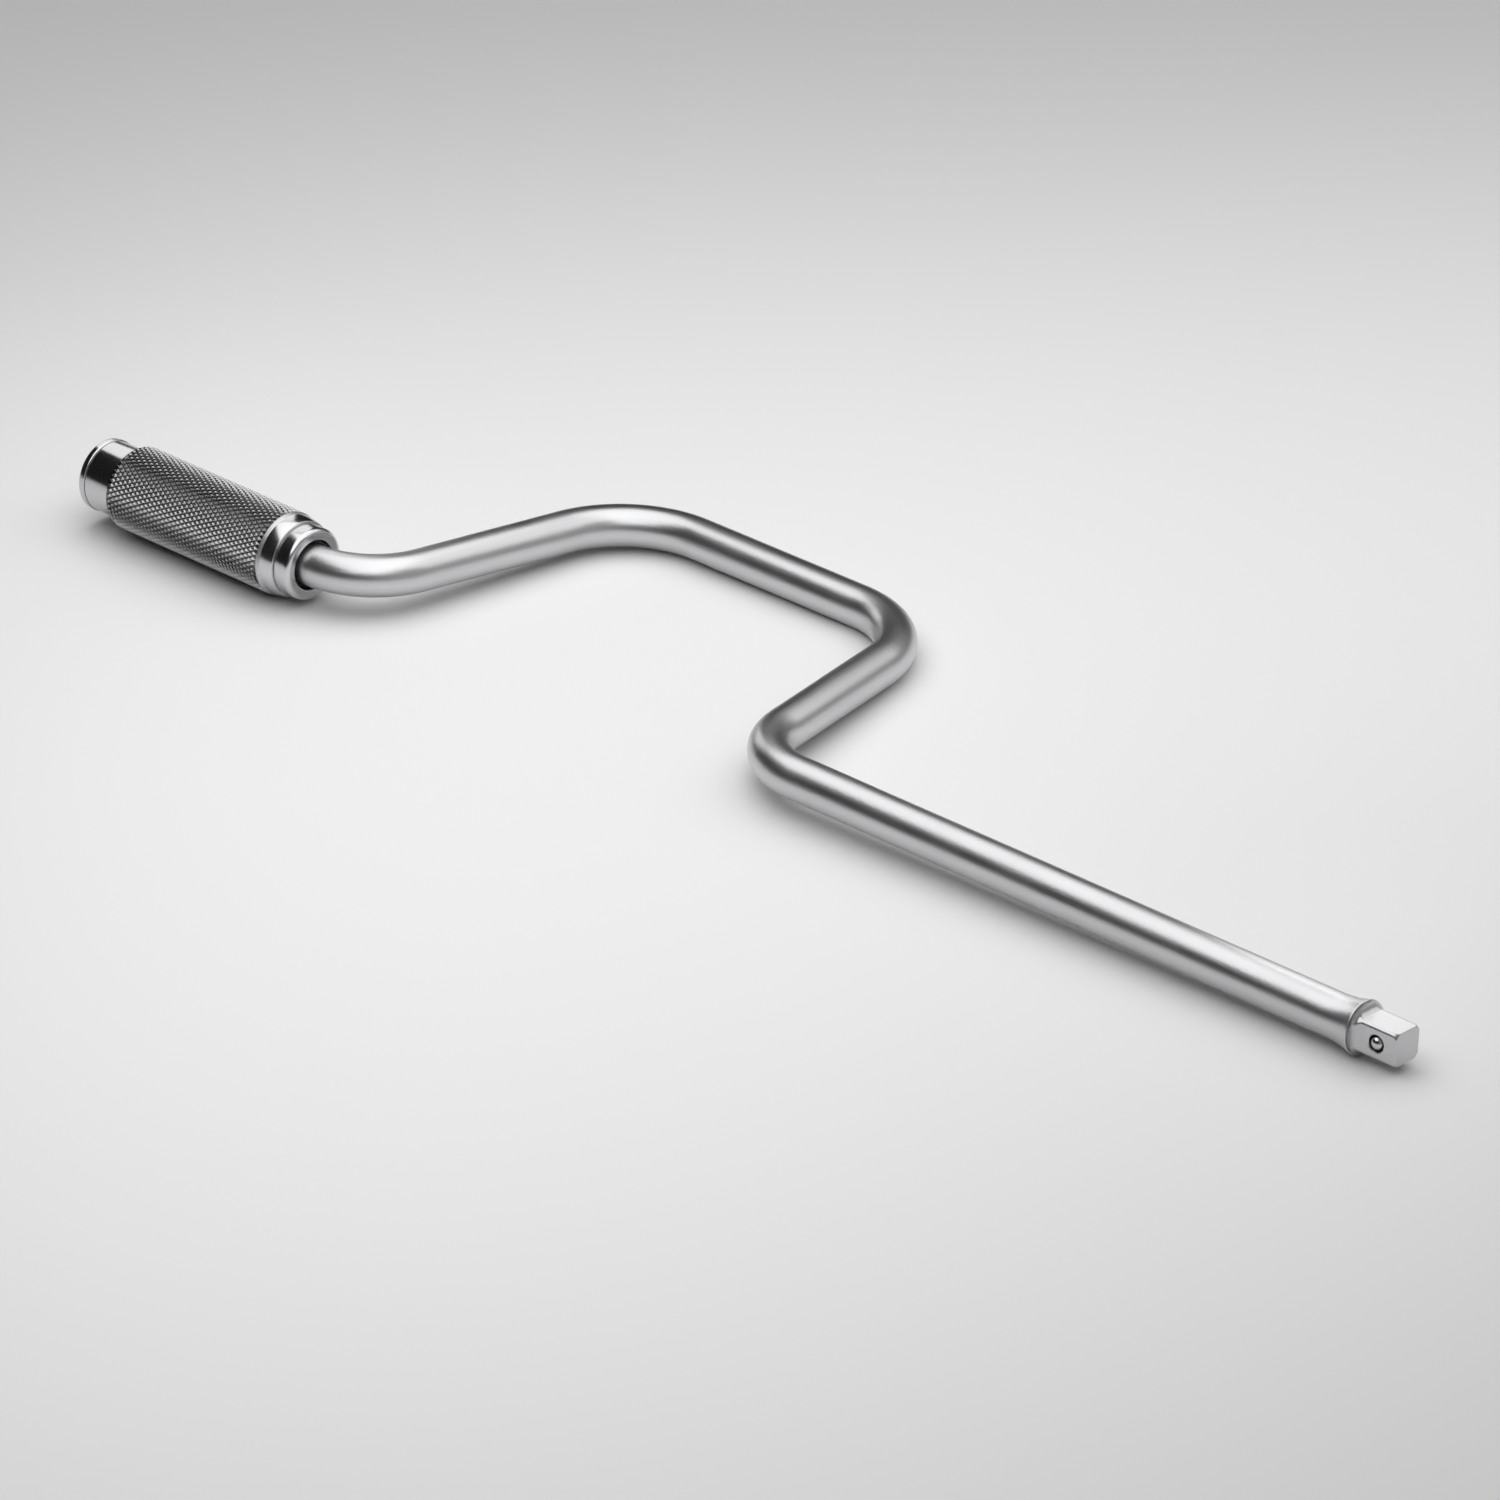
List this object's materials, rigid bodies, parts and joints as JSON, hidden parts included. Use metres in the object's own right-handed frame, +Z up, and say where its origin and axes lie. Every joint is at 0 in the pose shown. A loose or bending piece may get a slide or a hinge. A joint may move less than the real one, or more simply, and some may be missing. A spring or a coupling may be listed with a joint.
{
  "type": "speed brace",
  "caption": "Crank-shaped bent steel bar with a square ball-catch drive at one end and a free-turning knurled handle in line with it at the other, for spinning sockets quickly.",
  "frame": {"origin": "centre of the drive square's end face, on the axis that the bar and the handle share", "axes": "+X out of the drive end, away from the handle; +Y towards the crank's grip; +Z up, square to the crank's plane"},
  "size_m": [0.4892, 0.1129, 0.0254],
  "materials": {
    "satin_chrome": "satin chrome plate with a fine grain along the bar",
    "knurled_chrome": "fine diamond knurl, satin chrome plate",
    "polished_chrome": "polished chrome plate",
    "bronze": "sintered bronze, oiled",
    "hardened_steel": "hardened and ground",
    "spring_steel": "oil-blackened spring steel"
  },
  "bodies": {
    "bar": {"brace_bar": "satin_chrome", "front_thrust_washer": "hardened_steel", "rear_thrust_washer": "hardened_steel", "retaining_ring": "spring_steel", "detent_spring": "spring_steel"},
    "handle": {"grip_sleeve": "knurled_chrome", "front_collar": "polished_chrome", "rear_cap": "polished_chrome", "front_bush": "bronze", "rear_bush": "bronze"},
    "detent": {"detent_ball": "polished_chrome"}
  },
  "joints": [
    {"name": "handle_spin", "type": "hinge", "parent": "bar", "child": "handle", "pos_m": [-0.4012, 0, 0], "axis": [1, 0, 0], "continuous": true},
    {"name": "detent_press", "type": "slide", "parent": "bar", "child": "detent", "axis": [0, 1, 0], "range_m": [0, 0.00075], "stiffness_N_per_m": 2000, "springref_m": -0.001, "deforming": ["detent_spring"]}
  ]
}
